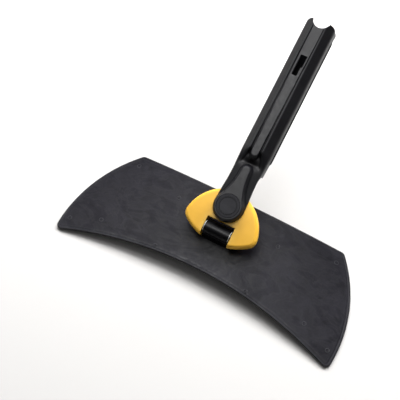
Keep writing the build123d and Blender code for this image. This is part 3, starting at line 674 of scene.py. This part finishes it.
TOP_SHARPNESS = 2.2
PANEL_STATIONS = (68, 205)
PANEL_HALVES = (3.9, 6.0)
VALLEY_START = 68.0
VALLEY_FADE = 42.0
VALLEY_DEPTH = 0.45
VALLEY_EXTRA = 1.9
RIDGE_HEIGHT = 0.75
# neck turning into tube: distances along the handle, from the middle out to the edge
BLEND_ACROSS = (0, 2.0, 3.2, 4.2, 5.2, 7.5, 9.5, 12.5, 17.3)
BLEND_BEGIN = (57.0, 57.3, 58.2, 60.5, 63.0, 63.5, 56, 48, 44)
BLEND_END = (63.5, 63.8, 64.8, 67.5, 70.5, 71, 72, 73, 74)
NECK_END = 78.0
NECK_STEP = 0.8
TUBE_STEP = 3.0
BEAD_WIDTH = 1.3
BEAD_HALF_HEIGHT = 1.5
BEAD_CENTRE = -7.0
# recesses round the swivel, as (radius, height) profiles
CAP_RECESS = ((0.5, 13.0), (13.75, 13.0), (13.75, 14.6), (14.3, 15.4), (0.5, 15.4))
HEAD_RECESS = ((0.5, 10.2), (9.4, 10.2), (9.4, 13.6), (0.5, 13.6))
BUSH_HOLE = ((0.5, 5.0), (6.0, 5.0), (6.0, 10.8), (0.5, 10.8))
SPIGOT_PROFILE = ((6.0, 7.6), (6.0, 4.1), (12.5, 4.1), (12.95, 4.5), (12.95, 7.6))
# mouth of the bore, as (radius, distance along the handle)
MOUTH_BEVEL = ((BORE_RADIUS, 231.5), (14.2, 235.6), (0.5, 235.6))
# button slot in two overlapping steps: centre, width, length
SLOTS = (((0.3, 183.0), 7.8, 14.0), ((-0.5, 172.0), 6.2, 14.0))
SLOT_CORNER = 1.2
SLOT_LEVELS = ((2.0, 0), (16.5, 0), (17.6, 0.7), (19.0, 0.7))
SCOOP_PROFILE = ((11.4, -19), (10.7, -13.6), (10.7, 16.4), (11.4, 19))
SCOOP_STATION = 237.0


def half_width(h):
    """Plan of the handle: round eye, slight waist, straight tube, rounded ears."""
    eye = np.sqrt(np.maximum(EYE_RADIUS**2 - np.minimum(h, 0.0) ** 2, 0.0))
    waist = np.interp(h, WAIST_STATIONS, WAIST_HALVES)
    end = np.maximum(h - (HANDLE_LENGTH - MOUTH_ROUNDING), 0.0)
    rounding = MOUTH_ROUNDING - np.sqrt(np.maximum(MOUTH_ROUNDING**2 - end**2, 0.0))
    return np.where(h < 0, eye, waist - np.minimum(rounding, MOUTH_ROUNDING * 0.8))


def inside_tongue(x, h):
    """How far a point lies inside the pad that runs from the swivel to a nose up the neck."""
    circle = PAD_RADIUS - np.hypot(x, h)
    taper = np.exp(-((np.maximum(h, 0) / 20.0) ** 1.6))
    flank = TONGUE_NOSE_RADIUS + (PAD_RADIUS - TONGUE_NOSE_RADIUS) * taper
    strip = np.where((h > 0) & (h < TONGUE_NOSE), (flank - np.abs(x)) * 0.94, -9.0)
    nose = TONGUE_NOSE_RADIUS - np.hypot(x, h - TONGUE_NOSE)
    return np.maximum(np.maximum(circle, strip), nose)


def neck_top(x, h, edge):
    """Straps beside the tongue, slightly crowned, with a hollow behind the tongue's nose."""
    share = np.abs(x) / edge
    strap = NECK_TOP + STRAP_CROWN - STRAP_FALL * smoothstep(share, 0.1, 1.35)
    hollow = HOLLOW_DEPTH * np.exp(-((x / 9.0) ** 2) - ((h - HOLLOW_STATION) / 4.2) ** 2)
    base = strap - hollow
    return base + (EYE_TOP - base) * smoothstep(inside_tongue(x, h), -1.6, 2.4)


def tube_top(x, h):
    """Panel between two ridges, with valleys that run out towards the mouth."""
    across = np.abs(x)
    slope = (TUBE_TOP - TUBE_SHOULDER) / (TUBE_HALF - TUBE_TOP_HALF)
    chamfer = TUBE_TOP - (across - TUBE_TOP_HALF) * slope
    level = -np.logaddexp(-TUBE_TOP * TOP_SHARPNESS, -chamfer * TOP_SHARPNESS) / TOP_SHARPNESS
    panel = np.interp(h, PANEL_STATIONS, PANEL_HALVES)
    depth = VALLEY_DEPTH + VALLEY_EXTRA * np.exp(-np.maximum(h - VALLEY_START, 0.0) / VALLEY_FADE)
    valley = smoothstep(across, panel, panel + 0.9) * (1 - smoothstep(across, 6.5, 7.3))
    ridge = smoothstep(across, 6.7, 7.5) * (1 - smoothstep(across, 8.6, 9.5))
    return level - depth * valley + RIDGE_HEIGHT * ridge


def top_height(x, h, edge):
    """Whole upper face: neck turning into tube, later at the ridges than at the panel."""
    across = np.abs(x)
    begin = np.interp(across, BLEND_ACROSS, BLEND_BEGIN)
    end = np.interp(across, BLEND_ACROSS, BLEND_END)
    share = smoothstep(h, begin, end)
    return neck_top(x, h, edge) * (1 - share) + tube_top(x, h) * share


def handle_stations():
    """Distances along the handle at which a section is laid, closest where it curves."""
    eye = -EYE_RADIUS * np.cos(np.radians(np.linspace(5, 90, 22)))
    neck = np.arange(NECK_STEP, NECK_END, NECK_STEP)
    tube = np.arange(NECK_END, HANDLE_LENGTH - MOUTH_ROUNDING, TUBE_STEP)
    ears = HANDLE_LENGTH - MOUTH_ROUNDING * (1 - np.sin(np.radians(np.linspace(0, 90, 7))))
    return np.concatenate((eye, neck, tube, ears))


def handle_section(h):
    """Closed loop of (across, up) points at one distance along the handle."""
    edge = float(half_width(np.array(h)))
    across = edge * np.linspace(-1, 1, TOP_COLUMNS)
    up = top_height(across, np.full(TOP_COLUMNS, h), edge)
    drop = smoothstep(np.abs(across) / edge, 0.955, 1.0) * 0.8
    up = up - drop
    bead = smoothstep(h, 63.0, 67.0) * (1 - smoothstep(h, 221.0, 224.0))
    bottom_half = TUBE_BOTTOM_HALF * edge / TUBE_HALF
    flare = 0.5 * smoothstep(h, 226.0, 230.0)
    side = [
        (edge + 0.25, up[-1] - 0.6), (edge + 0.3, 2.0),
        (edge + 0.3 + flare * 0.5, -3.0), (edge + 0.2 + flare, -5.3),
    ]
    for angle in (60, 30, 0, -30, -60):
        a = math.radians(angle)
        out = edge + 0.1 + flare + BEAD_WIDTH * bead * math.cos(a)
        side.append((out, BEAD_CENTRE + BEAD_HALF_HEIGHT * math.sin(a)))
    side += [(edge - 0.1 + flare, SIDE_BOTTOM - 0.3), (edge - 1.2, SIDE_BOTTOM - 1.3)]
    side += [(bottom_half + 0.9, TUBE_BOTTOM + 0.75), (bottom_half - 0.6, TUBE_BOTTOM)]
    side.append((bottom_half * 0.4, TUBE_BOTTOM))
    right = list(zip(across, up)) + side
    left = [(-a, n) for a, n in reversed(side)]
    return right + left


def clearance_room():
    """Space under the neck in which the yoke turns: flat, then curving down."""
    turn = np.radians((0, 15, 30, 45, 60, 75, 90))
    span = CLEARANCE_RADIUS - CLEARANCE_FLAT
    reach = []
    for a in turn:
        height = EYE_BOTTOM - CLEARANCE_DROP * (1 - math.cos(a))
        reach.append((CLEARANCE_FLAT + span * math.sin(a), height))
    end = [(CLEARANCE_RADIUS, ROOM_DEPTH), (0.5, ROOM_DEPTH)]
    return lathe("room", [(0.5, EYE_BOTTOM)] + reach + end, HANDLE)


def handle_body():
    """The whole moulding, with its bore, button slot, scoop and swivel recesses cut out."""
    points = []
    stations = handle_stations()
    for h in stations:
        section = handle_section(float(h))
        points += [(a, h, n) for a, n in section]
    body = mesh_object("handle_moulding", points, loop_faces(len(stations), len(section)), HANDLE)
    cut_away(body, clearance_room())
    recesses = (("cap_recess", CAP_RECESS), ("head_recess", HEAD_RECESS), ("bush_hole", BUSH_HOLE))
    for name, profile in recesses:
        cut_away(body, lathe(name, profile, HANDLE))
    bore = ((0.5, BORE_BOTTOM), (BORE_RADIUS, BORE_BOTTOM)) + MOUTH_BEVEL
    cut_away(body, lathe("bore", bore, HANDLE, (0, BORE_AXIS), "along"))
    for centre, width, length in SLOTS:
        outline = rounded_rectangle(centre, width, length, SLOT_CORNER)
        cut_away(body, prism("slot", outline, SLOT_LEVELS, HANDLE))
    cut_away(body, lathe("scoop", SCOOP_PROFILE, HANDLE, (0.0, SCOOP_STATION)))
    return finish_piece(body, "handle", "black_plastic", ["handle_socket"], crisp=38)


def handle_spigot():
    """Round boss under the eye that turns in the yoke's seat."""
    spigot = lathe("handle_spigot", SPIGOT_PROFILE, HANDLE)
    return finish_piece(spigot, "handle", "black_plastic")


# ---------------------------- the pieces made here
plate_skin()
ejector_marks()
for name in nodes:
    if name.startswith("hook_strip"):
        hook_strip(name)
handle_body()
handle_spigot()


# ---------------------------- floor, light, camera
FLOOR_HALF = 3.0
FLOOR_GAP = 0.0002
FLOOR_COLOUR = (0.64, 0.63, 0.62, 1)
CAMERA_AZIMUTH = math.radians(29.18)
CAMERA_ELEVATION = math.radians(61.48)
CAMERA_DISTANCE = 1.0277
CAMERA_TARGET = Vector((-0.0456, 0.0408, FLOOR_Z))
CAMERA_LENS = 77.76
WORLD_STOPS = [(0.0, 0.10), (0.50, 0.08), (1.0, 0.12)]
BACKDROP = (0.86, 0.86, 0.86, 1.0)
LIGHT_TARGET = (0, 0.02, 0)
BANK = {"direction": (-0.10, 0.72, 0.70), "distance": 1.30, "width": 3.0, "height": 0.60}


def make_floor():
    """Plain pale sheet just under the object."""
    bm = bmesh.new()
    bmesh.ops.create_grid(bm, x_segments=8, y_segments=8, size=FLOOR_HALF)
    mesh = bpy.data.meshes.new("floor")
    bm.to_mesh(mesh)
    bm.free()
    floor = bpy.data.objects.new("floor", mesh)
    bpy.context.scene.collection.objects.link(floor)
    floor.location.z = FLOOR_Z - FLOOR_GAP
    material, n, _ = new_material("floor_paper")
    shader = n["Principled BSDF"]
    shader.inputs["Base Color"].default_value = FLOOR_COLOUR
    shader.inputs["Roughness"].default_value = 0.9
    shader.inputs["Specular IOR Level"].default_value = 0.1
    mesh.materials.append(material)


def make_world():
    """Dim even surroundings, seen by the camera as a pale backdrop."""
    world = bpy.data.worlds.new("studio")
    bpy.context.scene.world = world
    world.use_nodes = True
    n, l = world.node_tree.nodes, world.node_tree.links
    coords = n.new("ShaderNodeTexCoord")
    separate = n.new("ShaderNodeSeparateXYZ")
    l.new(coords.outputs["Generated"], separate.inputs["Vector"])
    sky = ramp(n, l, separate.outputs["Z"], WORLD_STOPS)
    seen = n.new("ShaderNodeMix")
    seen.data_type = "RGBA"
    seen.inputs["B"].default_value = BACKDROP
    l.new(n.new("ShaderNodeLightPath").outputs["Is Camera Ray"], seen.inputs["Factor"])
    l.new(sky, seen.inputs["A"])
    l.new(seen.outputs["Result"], n["Background"].inputs["Color"])


def area_light(name, direction, distance, width, height, power):
    """Rectangular light at a distance from the target, facing it."""
    lamp = bpy.data.lights.new(name, "AREA")
    lamp.shape = "RECTANGLE"
    lamp.size = width
    lamp.size_y = height
    lamp.energy = power
    obj = bpy.data.objects.new(name, lamp)
    bpy.context.scene.collection.objects.link(obj)
    away = Vector(direction).normalized()
    obj.location = Vector(LIGHT_TARGET) + away * distance
    obj.rotation_euler = away.to_track_quat("Z", "Y").to_euler()
    return obj


def make_camera():
    data = bpy.data.cameras.new("camera")
    data.lens = CAMERA_LENS
    camera = bpy.data.objects.new("camera", data)
    bpy.context.scene.collection.objects.link(camera)
    back = Vector((
        math.sin(CAMERA_AZIMUTH) * math.cos(CAMERA_ELEVATION),
        -math.cos(CAMERA_AZIMUTH) * math.cos(CAMERA_ELEVATION),
        math.sin(CAMERA_ELEVATION),
    ))
    camera.location = CAMERA_TARGET + back * CAMERA_DISTANCE
    camera.rotation_euler = back.to_track_quat("Z", "Y").to_euler()
    bpy.context.scene.camera = camera


make_floor()
make_world()
# the bank lights surfaces without showing in their gloss; its glow adds a weak reflection
bank = area_light("bank", power=60, **BANK)
bank.visible_glossy = False
area_light("bank_glow", power=8, **BANK)
# the card shows in gloss only
card = area_light("top_card", (-0.32, -0.06, 1.63), distance=1.66, width=0.60, height=0.95, power=29)
card.visible_diffuse = False
area_light("ceiling", (-0.20, 0.42, 0.88), distance=1.5, width=1.0, height=0.7, power=8)
make_camera()
bpy.context.scene.view_settings.view_transform = "Standard"
